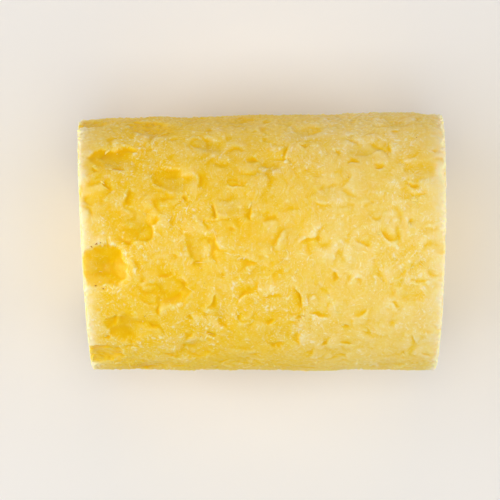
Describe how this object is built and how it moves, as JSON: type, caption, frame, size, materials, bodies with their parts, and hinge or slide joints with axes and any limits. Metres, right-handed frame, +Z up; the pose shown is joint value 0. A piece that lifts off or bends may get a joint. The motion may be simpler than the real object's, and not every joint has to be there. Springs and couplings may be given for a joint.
{
  "type": "peeled pineapple",
  "caption": "Whole peeled pineapple lying on its side, a solid barrel of flesh with spiral eye hollows, one scooped pocket and two flat cut ends.",
  "frame": {"origin": "under the middle of the fruit's box, on the surface that it lies on", "axes": "+X along the fruit's core from its narrower end to its wider end, +Y across it, +Z up away from the flat that it rests on"},
  "size_m": [0.1348, 0.0956, 0.0934],
  "materials": {
    "flesh": "moist fruit flesh, satin, yellow with deeper golden hollows and paler cut rims"
  },
  "bodies": {
    "root": {"pineapple_flesh": "flesh"}
  },
  "joints": []
}
